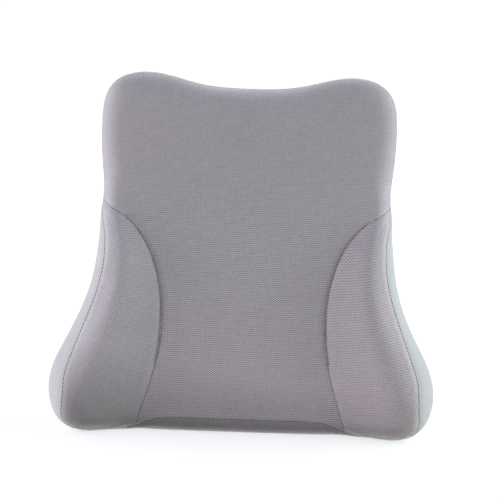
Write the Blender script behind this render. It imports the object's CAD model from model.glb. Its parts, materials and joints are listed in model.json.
"""A contoured back cushion: a knitted cover over foam, with a zip and a buckled strap behind.

It stands on the floor at z = 0 with its front towards -y and its flat back at BACK_Y, and is
even about x = 0; "right" is +x. Points are in mm until mesh_from turns them into metres.
"""
import bisect
import json
from math import sin, cos, pi, sqrt, hypot, radians

import bmesh
import bpy
import numpy as np
from mathutils import Matrix, Vector, kdtree

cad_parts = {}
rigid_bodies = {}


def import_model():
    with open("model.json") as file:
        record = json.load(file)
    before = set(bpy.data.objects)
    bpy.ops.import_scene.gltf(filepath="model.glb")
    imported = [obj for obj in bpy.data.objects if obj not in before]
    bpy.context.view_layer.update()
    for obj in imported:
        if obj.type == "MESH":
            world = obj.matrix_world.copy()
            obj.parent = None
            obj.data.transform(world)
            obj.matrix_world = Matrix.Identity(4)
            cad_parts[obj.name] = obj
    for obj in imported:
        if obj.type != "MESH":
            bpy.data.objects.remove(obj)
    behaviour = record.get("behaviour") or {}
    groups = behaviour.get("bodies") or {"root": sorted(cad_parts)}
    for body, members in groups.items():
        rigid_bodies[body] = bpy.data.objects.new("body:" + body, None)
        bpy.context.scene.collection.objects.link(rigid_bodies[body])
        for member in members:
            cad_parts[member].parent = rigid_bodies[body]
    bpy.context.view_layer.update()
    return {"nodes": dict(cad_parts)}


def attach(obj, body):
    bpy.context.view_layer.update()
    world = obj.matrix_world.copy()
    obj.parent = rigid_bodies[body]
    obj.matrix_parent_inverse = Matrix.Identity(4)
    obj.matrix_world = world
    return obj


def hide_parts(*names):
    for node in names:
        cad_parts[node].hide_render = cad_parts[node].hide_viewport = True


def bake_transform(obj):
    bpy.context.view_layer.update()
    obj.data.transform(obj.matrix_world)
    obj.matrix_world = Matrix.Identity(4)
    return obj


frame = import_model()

for obj in list(bpy.data.objects):
    if obj.name in ("Cube", "Light", "Camera") and obj.name not in frame["nodes"]:
        bpy.data.objects.remove(obj)

MM = 0.001
BACK_Y = 60.0           # back plane of the cover
COVER_THICK = 1.3       # the cover's fabric
BACK_SEAM = 2.15        # place of the back border seam on the ring, see ring()
ZIP_Z = 38.0
ZIP_HALF_GAP = 4.6      # half the height of the opening beside the zip
STRAP_Z = 180.0


# ---------------------------------------------------------------- splines
def hermite(xs, ys, slopes, i, x):
    """Cubic between points i and i + 1."""
    h = xs[i + 1] - xs[i]
    t = (x - xs[i]) / h
    t2, t3 = t * t, t * t * t
    return ((2 * t3 - 3 * t2 + 1) * ys[i] + (t3 - 2 * t2 + t) * h * slopes[i]
            + (-2 * t3 + 3 * t2) * ys[i + 1] + (t3 - t2) * h * slopes[i + 1])


def spline_slopes(xs, ys, first, last):
    """Slopes of a smooth cubic spline; an end slope of None leaves that end natural."""
    n = len(xs)
    below, diag, above, right = [0.0] * n, [2.0] * n, [0.0] * n, [0.0] * n
    h = [xs[i + 1] - xs[i] for i in range(n - 1)]
    if first is None:
        above[0], right[0] = 1.0, 3 * (ys[1] - ys[0]) / h[0]
    else:
        diag[0], right[0] = 1.0, first
    for i in range(1, n - 1):
        below[i], diag[i], above[i] = h[i], 2 * (h[i - 1] + h[i]), h[i - 1]
        right[i] = 3 * (h[i] * (ys[i] - ys[i - 1]) / h[i - 1]
                        + h[i - 1] * (ys[i + 1] - ys[i]) / h[i])
    if last is None:
        below[-1], right[-1] = 1.0, 3 * (ys[-1] - ys[-2]) / h[-1]
    else:
        diag[-1], right[-1] = 1.0, last
    for i in range(1, n):
        w = below[i] / diag[i - 1]
        diag[i] -= w * above[i - 1]
        right[i] -= w * right[i - 1]
    slopes = [0.0] * n
    slopes[-1] = right[-1] / diag[-1]
    for i in range(n - 2, -1, -1):
        slopes[i] = (right[i] - above[i] * slopes[i + 1]) / diag[i]
    return slopes


def spline(xs, ys, first=None, last=None):
    """Smooth cubic spline through (xs, ys), carried on straight beyond its ends."""
    slopes = spline_slopes(xs, ys, first, last)

    def value(x):
        if x < xs[0]:
            return ys[0] + slopes[0] * (x - xs[0])
        if x > xs[-1]:
            return ys[-1] + slopes[-1] * (x - xs[-1])
        i = min(max(bisect.bisect_right(xs, x) - 1, 0), len(xs) - 2)
        return hermite(xs, ys, slopes, i, x)
    return value


def mono(xs, ys):
    """Monotone cubic (Fritsch-Carlson) through (xs, ys): no overshoot."""
    n = len(xs)
    rise = [(ys[i + 1] - ys[i]) / (xs[i + 1] - xs[i]) for i in range(n - 1)]
    inner = [0.0 if a * b <= 0 else (a + b) / 2 for a, b in zip(rise, rise[1:])]
    slopes = [rise[0]] + inner + [rise[-1]]
    for i in range(n - 1):
        if rise[i] == 0:
            slopes[i] = slopes[i + 1] = 0.0
        else:
            a, b = slopes[i] / rise[i], slopes[i + 1] / rise[i]
            size = a * a + b * b
            if size > 9:
                slopes[i] = 3 / sqrt(size) * a * rise[i]
                slopes[i + 1] = 3 / sqrt(size) * b * rise[i]

    def value(x):
        if x <= xs[0]:
            return ys[0]
        if x >= xs[-1]:
            return ys[-1]
        return hermite(xs, ys, slopes, bisect.bisect_right(xs, x) - 1, x)
    return value


def smooth(x):
    x = min(max(x, 0.0), 1.0)
    return x * x * (3 - 2 * x)


def lengths_2d(points):
    """Length along a line of (x, z) points."""
    total = [0.0]
    for a, b in zip(points, points[1:]):
        total.append(total[-1] + hypot(b[0] - a[0], b[1] - a[1]))
    return total


def arc_length(points):
    """Length along each line of points; the last two axes are point and coordinate."""
    total = np.cumsum(np.linalg.norm(np.diff(points, axis=-2), axis=-1), axis=-1)
    return np.concatenate([np.zeros_like(total[..., :1]), total], axis=-1)


def along(s, length, points):
    """Points at the lengths s along a line."""
    return np.stack([np.interp(s, length, points[:, k]) for k in range(3)], axis=-1)


def resample(points, step):
    length = arc_length(points)
    n = max(int(length[-1] / step), 2)
    return along(np.linspace(0, length[-1], n + 1), length, points)


def flip(points):
    """Mirror image in x."""
    out = points.copy()
    out[..., 0] *= -1
    return out


# ---------------------------------------------------------------- outline
# Widest ring, right half, from the base centre round to the top centre:
# x, z, front roll width and depth, back roll width and depth, roll fullness,
# place of the front border seam on the ring
OUTLINE = [
    (0.0, 0.0, 22, 20, 10, 12, 2.0, 0.12), (50.0, 0.0, 22, 20, 10, 12, 2.0, 0.12),
    (88.0, 0.0, 22, 21, 10, 12, 2.0, 0.16), (116.0, 0.0, 22, 24, 10, 12, 2.0, 0.50),
    (138.0, 0.0, 23, 28, 10, 12, 2.0, 0.80), (157.0, 0.0, 25, 31, 11, 13, 2.0, 0.88),
    (174.0, 0.6, 26, 34, 12, 14, 1.95, 0.80), (189.0, 5.0, 28, 38, 12, 16, 1.9, 0.62),
    (201.0, 15.0, 30, 42, 13, 18, 1.85, 0.46), (207.3, 28.5, 33, 45, 13, 19, 1.8, 0.36),
    (209.8, 46.5, 36, 48, 14, 21, 1.75, 0.34), (205.7, 69.0, 38, 51, 14, 22, 1.75, 0.40),
    (195.6, 91.0, 38, 52, 14, 22, 1.75, 0.47), (184.1, 113.0, 36, 52, 14, 22, 1.7, 0.53),
    (172.8, 139.0, 35, 52, 14, 22, 1.7, 0.56), (165.0, 165.0, 33, 51, 14, 22, 1.7, 0.53),
    (161.2, 191.0, 31, 50, 14, 22, 1.7, 0.49), (159.6, 212.0, 27, 47, 14, 21, 1.7, 0.50),
    (158.8, 231.0, 22, 42, 13, 20, 1.75, 0.66), (157.6, 248.0, 20, 36, 12, 19, 1.85, 0.97),
    (156.2, 263.0, 21, 33, 12, 19, 2.0, 1.12), (157.6, 282.0, 25, 31, 12, 18, 2.0, 1.2),
    (160.2, 308.0, 26, 30, 12, 18, 2.0, 1.25), (161.0, 330.0, 26, 29, 12, 18, 2.0, 1.25),
    (160.2, 348.0, 26, 29, 12, 18, 2.0, 1.25), (156.6, 364.0, 26, 29, 12, 18, 2.0, 1.25),
    (149.6, 375.3, 26, 28, 12, 18, 2.0, 1.25), (138.0, 383.6, 26, 28, 12, 18, 2.0, 1.25),
    (124.0, 387.6, 26, 28, 12, 18, 2.0, 1.25), (108.0, 388.3, 26, 28, 12, 18, 2.0, 1.25),
    (92.0, 386.1, 26, 28, 12, 18, 2.0, 1.25), (76.0, 382.2, 26, 28, 12, 18, 2.0, 1.25),
    (58.0, 377.6, 25, 28, 12, 18, 2.0, 1.25), (40.0, 374.8, 24, 28, 12, 18, 2.0, 1.25),
    (20.0, 373.6, 24, 28, 12, 18, 2.0, 1.25), (0.0, 373.4, 24, 28, 12, 18, 2.0, 1.25),
]
ring_lengths = lengths_2d(OUTLINE)
HALF_RING = ring_lengths[-1]
ring_ts = [v / HALF_RING for v in ring_lengths]     # t: 0 at the base centre, 1 at the top
columns = list(zip(*OUTLINE))
outline_x = spline(ring_ts, columns[0], HALF_RING, -HALF_RING)
outline_z = spline(ring_ts, columns[1], 0.0, 0.0)
front_width, front_depth, back_width, back_depth, fullness, front_seam = [
    mono(ring_ts, column) for column in columns[2:]]


def outline(t):
    """Widest ring, right half: point and outward normal (x, z)."""
    if t <= 0 or t >= 1:
        return 0.0, max(outline_z(t), 0.0), 0.0, (-1.0 if t <= 0 else 1.0)
    before, after = max(t - 1e-4, 0.0), min(t + 1e-4, 1.0)
    dx = outline_x(after) - outline_x(before)
    dz = max(outline_z(after), 0) - max(outline_z(before), 0)
    step = hypot(dx, dz)
    return outline_x(t), max(outline_z(t), 0.0), dz / step, -dx / step


def face_edge(t, roll_width):
    """Where a face ends and its edge roll begins; roll_width is front_width or back_width."""
    x, z, nx, nz = outline(t)
    width = roll_width(t)
    return x - nx * width, z - nz * width


# ---------------------------------------------------------------- thickness over the back plane
middle_thickness = spline([-10, 20, 60, 110, 160, 220, 280, 330, 378, 410],
                          [82, 85, 90, 93, 90, 80.5, 69.5, 62, 56, 53])
wing_height = mono([0, 30, 70, 110, 150, 190, 215, 232, 246, 258],
                   [25, 30, 33, 33.5, 32, 27, 19, 9, 2, 0])
# inner seam of the wing: z, |x|
WING_SEAM = [
    (0, 115.5), (10, 113), (20, 110.3), (30, 107), (40, 103.8), (50, 100.6), (60, 97.7),
    (70, 95), (80, 92.7), (90, 90.7), (100, 89.2), (110, 88.2), (120, 87.7), (130, 87.5),
    (140, 87.6), (150, 88.3), (160, 89.6), (170, 91.6), (180, 94.3), (190, 97.8), (200, 102),
    (210, 107.6), (220, 115.3), (230, 125.3), (238, 135.5), (244, 145), (248, 152.5),
    (250.5, 158),
]
wing_seam_spline = spline(*zip(*WING_SEAM))


def wing_seam_x(z):
    return wing_seam_spline(min(max(z, 0.0), WING_SEAM[-1][0]))


# |x| of the front face's side edge against height
edge_points = [face_edge(i / 400, front_width) for i in range(401)]
edge_points = sorted((z, x) for x, z in edge_points if x > 100 and 30 < z < 270)
edge_points = [p for i, p in enumerate(edge_points)
               if i == 0 or p[0] > edge_points[i - 1][0] + 0.4]
wing_edge_x = mono([0.0] + [z for z, x in edge_points],
                   [edge_points[0][1] + 4] + [x for z, x in edge_points])


def wing_rise(x, z):
    """How far the wing stands up from the middle of the face."""
    SOFT, CREST = 1.15, 0.30        # power of the soft start, share rounded at the crest
    inner, outer = wing_seam_x(z), wing_edge_x(z)
    width = max(outer - inner, 7.0)
    across = (abs(x) - (outer - width)) / width
    if across <= 0:
        return 0.0
    if across >= 1:
        return wing_height(z)
    start, slope = (1 - CREST) ** SOFT, SOFT * (1 - CREST) ** (SOFT - 1)
    u = (across - (1 - CREST)) / CREST
    rise = across ** SOFT if u < 0 else start + slope * CREST * (u - u * u / 2)
    return wing_height(z) * (rise / (start + slope * CREST / 2))


def thickness(x, z, inset=0.0):
    """Thickness at (x, z), of a skin lying inset under the front face."""
    def full(x, z):
        return middle_thickness(z) - 3.0 * (x / 150.0) ** 2 + wing_rise(x, z)

    if inset == 0:
        return full(x, z)
    gx = (full(x + 1.0, z) - full(x - 1.0, z)) / 2
    gz = (full(x, z + 1.0) - full(x, z - 1.0)) / 2
    return full(x, z) - inset * sqrt(1 + gx * gx + gz * gz)


def ring(t, w, inset=0.0):
    """Edge of the cushion, right half. w: 0-1 front roll, 1-2 side wall, 2-3 back roll."""
    x, z, nx, nz = outline(t)
    thick = thickness(*face_edge(t, front_width), inset)
    if w <= 1:
        angle, power = w * pi / 2, 2 / fullness(t)
        out = -(front_width(t) - inset) * (1 - sin(angle) ** power)
        depth = thick - (front_depth(t) - inset) * (1 - max(cos(angle), 0.0) ** power)
    elif w <= 2:
        start = thick - (front_depth(t) - inset)
        out, depth = 0.0, start + (back_depth(t) - inset + inset - start) * (w - 1)
    else:
        angle = (w - 2) * pi / 2
        out = -(back_width(t) - inset) * (1 - cos(angle))
        depth = inset + (back_depth(t) - inset) * (1 - sin(angle))
    out -= inset
    return x + nx * out, BACK_Y - depth, z + nz * out


# ---------------------------------------------------------------- faces laid out flat
RING_STEPS = 800
RING_T = np.linspace(0, 1, RING_STEPS + 1)
RING_OUT = np.array([outline(t) for t in RING_T])       # x, z, nx, nz


class Flat:
    """The front or the back laid flat: the face as it is, the edge roll unrolled round it."""

    def __init__(self, roll_width, ws, face):
        self.face, self.ws, self.roll_width = face, ws, roll_width
        self.sign = 1 if ws[1] > ws[0] else -1
        self.edge = np.array([face_edge(t, roll_width) for t in RING_T])
        self.widths = np.array([roll_width(t) for t in RING_T])
        self.arc = arc_length(np.array([[ring(t, w) for w in ws] for t in RING_T]))

    def arc_at(self, t):
        i = min(int(t * RING_STEPS), RING_STEPS - 1)
        k = t * RING_STEPS - i
        return (1 - k) * self.arc[i] + k * self.arc[i + 1]

    def border(self, t, w):
        """Where the ring's point w lies on the flattened face."""
        x, z, nx, nz = outline(t)
        run = np.interp(self.sign * w, self.sign * self.ws, self.arc_at(t))
        out = run - self.roll_width(t)
        return x + nx * out, z + nz * out

    def inside(self, x, z):
        x0, z0, x1, z1 = *self.edge[:-1].T, *self.edge[1:].T
        crossing = x0 + (z - z0) * (x1 - x0) / np.where(z1 == z0, 1e-9, z1 - z0)
        return bool((((z0 > z) != (z1 > z)) & (x < crossing)).sum() % 2)

    def lift(self, x, z):
        """Flattened (x, z) to a point on the outside of the cushion."""
        if self.inside(x, z) or x < 1e-6 and self.edge[0, 1] < z < self.edge[-1, 1]:
            return x, self.face(x, z), z
        dx, dz = x - RING_OUT[:, 0], z - RING_OUT[:, 1]
        out = dx * RING_OUT[:, 2] + dz * RING_OUT[:, 3]
        beside = dx * RING_OUT[:, 3] - dz * RING_OUT[:, 2]
        near = (out > -self.widths - 3) & (out < 40)
        score = np.where(near, np.abs(beside) + 0.02 * np.abs(out + self.widths), 1e9)
        i = int(score.argmin())
        ahead = beside[i] * (beside[min(i + 1, RING_STEPS)] - beside[i]) < 0
        j = min(max(i + (1 if ahead else -1), 0), RING_STEPS)
        k = 0.0
        if i != j and beside[i] != beside[j]:
            k = min(max(beside[i] / (beside[i] - beside[j]), 0.0), 1.0)
        t = RING_T[i] * (1 - k) + RING_T[j] * k
        run = (out[i] + self.widths[i]) * (1 - k) + (out[j] + self.widths[j]) * k
        if x < 1e-6:
            t = 0.0 if z < 100 else 1.0
        return ring(t, float(np.interp(max(run, 0.0), self.arc_at(t), self.ws)))

    def grid(self, flat):
        return np.array([[self.lift(x, z) for x, z in row] for row in flat])


FRONT = Flat(front_width, np.linspace(0, 1.35, 56), lambda x, z: BACK_Y - thickness(x, z))
BACK = Flat(back_width, np.linspace(3, 2.0, 50), lambda x, z: BACK_Y)


def front_border(t):
    return FRONT.border(t, front_seam(t))


def back_border(t):
    return BACK.border(t, BACK_SEAM)


def last_t(holds, low, high):
    """The t up to which holds(t) is true."""
    for _ in range(50):
        middle = (low + high) / 2
        if holds(middle):
            low = middle
        else:
            high = middle
    return (low + high) / 2


# places on the outline: lower and upper ends of the wing seam, corner, top edge, zip height
T_WING_LOW = last_t(lambda t: front_border(t)[0] < wing_seam_x(front_border(t)[1]), 0.02, 0.2)
T_CORNER = last_t(lambda t: outline_x(t) < 177.0, 0.05, 0.5)
T_WING_TOP = last_t(lambda t: ring(t, front_seam(t))[2] < 251.5, 0.45, 0.75)
T_TOP = last_t(lambda t: outline_z(t) < 372.0, 0.6, 0.85)
T_ZIP = last_t(lambda t: back_border(t)[1] < ZIP_Z, 0.2, 0.4)


def eased(start, stop, n, at_start=0.0, at_stop=0.0):
    """n steps from start to stop, finer at the ends asked for."""
    x = np.linspace(0, 1, n + 1)
    if at_start and at_stop:
        curve = (1 - np.cos(pi * x)) / 2
    elif at_start:
        curve = 1 - np.cos(pi * x / 2)
    else:
        curve = np.sin(pi * x / 2)
    blend = at_start or at_stop
    return start + (stop - start) * ((1 - blend) * x + blend * curve)


WING_SEAM_STEPS = 132
HALF_STEPS = eased(0, 1, 56, at_stop=0.82)         # from the middle out
TS_FRONT_BASE = T_WING_LOW * HALF_STEPS
TS_WING_BASE = eased(T_WING_LOW, T_CORNER, 30, 0.6, 0.6)
TS_WING_SIDE = eased(T_CORNER, T_WING_TOP, 102, at_start=0.6)
TS_UPPER_SIDE = eased(T_WING_TOP, T_TOP, 56, at_stop=0.86)
TS_TOP = 1 - (1 - T_TOP) * HALF_STEPS[::-1]


def flat_wing_seam():
    """Inner seam of the wing on the flattened front, from the base seam to the side seam."""
    heights = (30, 45, 60, 75, 90, 105, 120, 135, 150, 165, 180, 192, 202, 211, 219, 226,
               232, 237)
    points = [front_border(T_WING_LOW)] + [(wing_seam_x(z), z) for z in heights]
    points += [(146.5, 243.6), (158.5, 248.3), front_border(T_WING_TOP)]
    length = lengths_2d(points)
    xs, zs = zip(*points)
    seam_x, seam_z = spline(length, xs), spline(length, zs)
    steps = eased(0, length[-1], WING_SEAM_STEPS, at_start=0.75)
    return np.array([(seam_x(s), seam_z(s)) for s in steps])


FLAT_SEAM = flat_wing_seam()


def coons(bottom, right, top, left):
    """Four edges of points, sideways ones from the middle out, to a grid [up][out]."""
    u = np.linspace(0, 1, len(bottom))[None, :, None]
    v = np.linspace(0, 1, len(right))[:, None, None]
    return ((1 - v) * bottom[None] + v * top[None] + (1 - u) * left[:, None]
            + u * right[:, None] - (1 - u) * (1 - v) * bottom[0] - u * (1 - v) * bottom[-1]
            - (1 - u) * v * top[0] - u * v * top[-1])


def half_face(bottom, right, top, rounds=200):
    """Right half of a flat panel from its edges; the left edge is the middle line."""
    up = arc_length(right)
    up /= up[-1]
    middle_z = bottom[0, 1] + (top[0, 1] - bottom[0, 1]) * up
    grid = coons(bottom, right, top, np.stack([np.zeros(len(up)), middle_z], axis=1))
    # even the inside out, holding the edges and how fine the grid is beside them
    du = np.diff(HALF_STEPS)[None, :, None]
    dv = np.diff(up)[:, None, None]
    du0, du1, dv0, dv1 = du[:, :-1], du[:, 1:], dv[:-1], dv[1:]
    for _ in range(rounds):
        even = grid.copy()
        even[1:-1, 1:-1] = (
            0.5 * (grid[:-2, 1:-1] * dv1 + grid[2:, 1:-1] * dv0) / (dv0 + dv1)
            + 0.5 * (grid[1:-1, :-2] * du1 + grid[1:-1, 2:] * du0) / (du0 + du1))
        grid = 0.5 * grid + 0.5 * even
        grid[:, 0, 0] = 0
        grid[1:-1, 0, 1] = grid[1:-1, 1, 1]
    return grid


def border_points(border, ts):
    return np.array([border(t) for t in ts])


def front_flat():
    right = np.concatenate([FLAT_SEAM[:-1], border_points(front_border, TS_UPPER_SIDE)])
    return half_face(border_points(front_border, TS_FRONT_BASE), right,
                     border_points(front_border, TS_TOP)[::-1])


def zip_edge(side):
    """Edge of the back above (1) or below (-1) the zip: a gap that closes to a seam."""
    CLOSE_X, CLOSE_RUN = 151.5, 6.0
    return np.array([
        (x, ZIP_Z + side * ZIP_HALF_GAP * (1 - smooth((x - CLOSE_X) / CLOSE_RUN)))
        for x in HALF_STEPS * back_border(T_ZIP)[0]])


def back_upper_flat():
    return half_face(zip_edge(1), border_points(back_border, eased(T_ZIP, T_TOP, 150, 0.6, 0.6)),
                     border_points(back_border, TS_TOP)[::-1])


def back_lower_flat():
    return half_face(border_points(back_border, T_CORNER * HALF_STEPS),
                     border_points(back_border, eased(T_CORNER, T_ZIP, 34, 0.5, 0.5)),
                     zip_edge(-1), rounds=60)


def wing_flat():
    """[s][k]: s along the wing, k from the inner seam out to the border seam."""
    border = border_points(front_border, np.concatenate([TS_WING_BASE[:-1], TS_WING_SIDE]))
    u = eased(0, 1, 40, 0.85, 0.85)[None, :, None]
    return FLAT_SEAM[:, None] * (1 - u) + border[:, None] * u


def ring_sheet(ts, n=26):
    """[t][k] points on the edge from the front border seam to the back one, and their UVs.

    The points are closer together near both seams; a negative t is on the left.
    """
    u = eased(0, 1, n, 0.75, 0.75)
    points, runs = [], []
    for t in ts:
        ws = np.linspace(front_seam(abs(t)), BACK_SEAM, 60)
        length = arc_length(np.array([ring(abs(t), w) for w in ws]))
        row = np.array([ring(abs(t), w) for w in np.interp(u * length[-1], length, ws)])
        points.append(flip(row) if t < 0 else row)
        runs.append(u * length[-1])
    points, runs = np.array(points), np.array(runs)
    round_ring = arc_length(points[:, n // 2])
    return points, np.stack([runs - runs[:, -1:], np.repeat(round_ring[:, None], n + 1, 1)],
                            axis=2)


def both_sides(grid):
    """Right half [j][i] to the whole, left to right."""
    return np.concatenate([flip(grid[:, :0:-1]), grid], axis=1)


def side_sheet():
    """The strip from the right corner over the top to the left corner, and its UVs."""
    points, uv = ring_sheet(np.concatenate([TS_WING_SIDE[:-1], TS_UPPER_SIDE[:-1], TS_TOP]))
    left_uv = uv[::-1].copy()
    left_uv[..., 1] = 2 * uv[-1, 0, 1] - left_uv[..., 1]
    return (np.concatenate([points, flip(points[::-1])[1:]]),
            np.concatenate([uv, left_uv[1:]]))


# ---------------------------------------------------------------- seams
def ring_line(seam):
    """Whole seam round the cushion; seam gives its place on the ring at t."""
    half = np.array([ring(t, seam(t)) for t in np.linspace(0, 1, 900)])
    return np.concatenate([half, flip(half[::-1])[1:]])


def seam_lines():
    wing = FRONT.grid(FLAT_SEAM[None])[0]
    corner = np.array([ring(T_CORNER, w)
                       for w in np.linspace(front_seam(T_CORNER), BACK_SEAM, 90)])
    beside_zip = [(x, ZIP_Z) for x in np.linspace(157.5, back_border(T_ZIP)[0], 60)]
    zip_end = BACK.grid([beside_zip])[0]
    return [ring_line(front_seam), ring_line(lambda t: BACK_SEAM), wing, flip(wing),
            corner, flip(corner), zip_end, flip(zip_end)]


SEAM_STEP = 0.6
seams = [resample(line, SEAM_STEP) for line in seam_lines()]
# each seam's places start 1000 after the last one's, so that their puckers differ
seam_places = np.concatenate([np.arange(len(line)) * SEAM_STEP + 1000 * i
                              for i, line in enumerate(seams)])


def point_tree(points):
    tree = kdtree.KDTree(len(points))
    for i, point in enumerate(points):
        tree.insert(point, i)
    tree.balance()
    return tree


seam_tree = point_tree(np.concatenate(seams))


def seam_near(points):
    """Distance to the nearest seam and the place along it, for an array of points."""
    distance, place = np.empty(len(points)), np.empty(len(points))
    for i, point in enumerate(points):
        _, k, distance[i] = seam_tree.find(point)
        place[i] = seam_places[k]
    return distance, place


def grid_normals(grid):
    n = np.cross(np.gradient(grid, axis=1), np.gradient(grid, axis=0))
    size = np.linalg.norm(n, axis=2, keepdims=True)
    return n / np.where(size < 1e-9, 1, size)


# ---------------------------------------------------------------- the cover's panels
front_uv, wing_uv = front_flat(), wing_flat()
half_front, wing_grid = FRONT.grid(front_uv), FRONT.grid(wing_uv)
side_grid, side_uv = side_sheet()
base_ts = np.concatenate([TS_FRONT_BASE[:-1], TS_WING_BASE])
base_grid, base_uv = ring_sheet(np.concatenate([-base_ts[:0:-1], base_ts]))
upper_uv, lower_uv = back_upper_flat(), back_lower_flat()
# name: grid of points, grid of UVs
PANELS = {
    "front": (both_sides(half_front), both_sides(front_uv)),
    "wing_right": (wing_grid, wing_uv),
    "wing_left": (flip(wing_grid[:, ::-1]), flip(wing_uv[:, ::-1])),
    "side": (side_grid, side_uv),
    "base": (base_grid, base_uv),
    "back_upper": (both_sides(BACK.grid(upper_uv))[:, ::-1], both_sides(upper_uv)[:, ::-1]),
    "back_lower": (both_sides(BACK.grid(lower_uv))[:, ::-1], both_sides(lower_uv)[:, ::-1]),
}


def quads(nj, ni, base=0):
    j, i = np.meshgrid(np.arange(nj - 1), np.arange(ni - 1), indexing="ij")
    a = base + j * ni + i
    return np.stack([a, a + 1, a + ni + 1, a + ni], axis=-1).reshape(-1, 4)


def link_object(name, mesh):
    obj = bpy.data.objects.new(name, mesh)
    bpy.context.scene.collection.objects.link(obj)
    return obj


def mesh_from(name, verts, faces, uvs=None, attrs=None):
    """Smooth mesh object from mm vertices; uvs and attrs are per vertex."""
    mesh = bpy.data.meshes.new(name)
    mesh.from_pydata((np.asarray(verts) * MM).tolist(), [],
                     [tuple(int(v) for v in f) for f in faces])
    mesh.validate()
    if uvs is not None:
        layer = mesh.uv_layers.new(name="UVMap")
        idx = np.empty(len(mesh.loops), dtype=np.int32)
        mesh.loops.foreach_get("vertex_index", idx)
        layer.data.foreach_set("uv", np.asarray(uvs)[idx].astype(np.float32).ravel())
    for key, values in (attrs or {}).items():
        attribute = mesh.attributes.new(key, "FLOAT", "POINT")
        attribute.data.foreach_set("value", np.asarray(values, dtype=np.float32))
    mesh.shade_smooth()
    return link_object(name, mesh)


# ---------------------------------------------------------------- cloth swell
# The sewn cover is blown out a little over its foam, with the seams held.
CAGE_STEP = 2           # the cloth runs on every second point of the panels
CLOTH_FRAMES = 20
SWELL_CAP = 3.0
SWELL_SMOOTHING = 14


def spread_matrix(n, step):
    """Natural cubic spline from every step-th of n points to all of them."""
    knots = np.arange(0, n, step, dtype=float)
    out = np.zeros((n, len(knots)))
    for k in range(len(knots)):
        unit = [0.0] * len(knots)
        unit[k] = 1.0
        value = spline(list(knots), unit)
        low, high = max(0, int(knots[k]) - 12 * step), min(n, int(knots[k]) + 12 * step + 1)
        for v in range(low, high):
            out[v, k] = value(float(v))
    return out


def coordinates(mesh):
    flat = np.empty(len(mesh.vertices) * 3)
    mesh.vertices.foreach_get("co", flat)
    return flat.reshape(-1, 3)


def make_cage(grids):
    """The panels' coarse grids welded along their seams."""
    bm = bmesh.new()
    for grid in grids:
        verts = [bm.verts.new(p * MM) for p in grid.reshape(-1, 3)]
        for quad in quads(*grid.shape[:2]):
            bm.faces.new([verts[i] for i in quad])
    bmesh.ops.remove_doubles(bm, verts=bm.verts, dist=0.0004)
    bmesh.ops.dissolve_degenerate(bm, dist=0.00005, edges=bm.edges)
    mesh = bpy.data.meshes.new("cage")
    bm.to_mesh(mesh)
    bm.free()
    return link_object("cage", mesh)


def pin_cage(cage, points):
    """Hold the seams, the back and the base; hold less and less beside the seams."""
    distance, _ = seam_near(points)
    pin = cage.vertex_groups.new(name="pin")
    for i, point in enumerate(points):
        if distance[i] < 2.2 or point[1] > 46 or point[2] < 1.0:
            pin.add([i], 1.0, "REPLACE")
        elif distance[i] < 6:
            pin.add([i], float(0.25 * (6 - distance[i]) / 4), "REPLACE")


def run_cloth(cage):
    """Vertices of the cage, in metres, after the cloth run."""
    mod = cage.modifiers.new("cloth", "CLOTH")
    cloth = mod.settings
    cloth.quality = 6
    cloth.mass = 0.25
    cloth.tension_stiffness = cloth.compression_stiffness = 22
    cloth.shear_stiffness = 8
    cloth.bending_stiffness = 3.0
    cloth.vertex_group_mass = "pin"
    cloth.use_pressure = True
    cloth.uniform_pressure_force = 3.2
    cloth.shrink_min = -0.004
    cloth.effector_weights.gravity = 0
    mod.collision_settings.use_collision = False
    mod.collision_settings.use_self_collision = False
    mod.point_cache.frame_start, mod.point_cache.frame_end = 1, CLOTH_FRAMES
    for number in range(1, CLOTH_FRAMES + 1):
        bpy.context.scene.frame_set(number)
    got = coordinates(cage.evaluated_get(bpy.context.evaluated_depsgraph_get()).data)
    bpy.context.scene.frame_set(1)
    return got


def cloth_swell():
    """Displacement of every panel point from the cloth run."""
    coarse = {key: grid[::CAGE_STEP, ::CAGE_STEP] for key, (grid, _) in PANELS.items()}
    cage = make_cage(coarse.values())
    rest = coordinates(cage.data)
    pin_cage(cage, rest / MM)
    moved = (run_cloth(cage) - rest) / MM
    bpy.data.objects.remove(cage)
    tree = point_tree(rest / MM)
    size = np.linalg.norm(moved, axis=1)
    moved *= (SWELL_CAP * np.tanh(size / SWELL_CAP) / np.where(size < 1e-9, 1, size))[:, None]
    out = {}
    for key, grid in coarse.items():
        swell = np.array([moved[tree.find(p)[1]] for p in grid.reshape(-1, 3)])
        swell = swell.reshape(grid.shape)
        # the knit is stretched taut: keep the swell, ease out the crumples
        for _ in range(SWELL_SMOOTHING):
            even = swell.copy()
            even[1:-1, 1:-1] = (swell[:-2, 1:-1] + swell[2:, 1:-1]
                                + swell[1:-1, :-2] + swell[1:-1, 2:]) / 4
            swell = even
        nj, ni = PANELS[key][0].shape[:2]
        out[key] = np.einsum("ac,cdk,bd->abk", spread_matrix(nj, CAGE_STEP), swell,
                             spread_matrix(ni, CAGE_STEP))
    return out


SWELL = cloth_swell()

# ---------------------------------------------------------------- sewing
GROOVE, GROOVE_REACH = 0.42, 1.1        # depth of a seam's groove, width of its shoulder
CROWN_AT, CROWN_SPREAD = 7, 4.6         # the swell beside a seam
LIP = 1.5                               # how far a panel's edges turn in


def wobble(s):
    """Uneven wave along a seam, for its puckers."""
    return (np.sin(2 * pi * s / 13.7) + 0.8 * np.sin(2 * pi * s / 8.9 + 1.3)
            + 0.7 * np.sin(2 * pi * s / 21.3 + 0.4 * np.sin(s / 31.0))
            + 0.6 * np.sin(2 * pi * s / 5.6 + 2.0)) / 2.2


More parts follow.
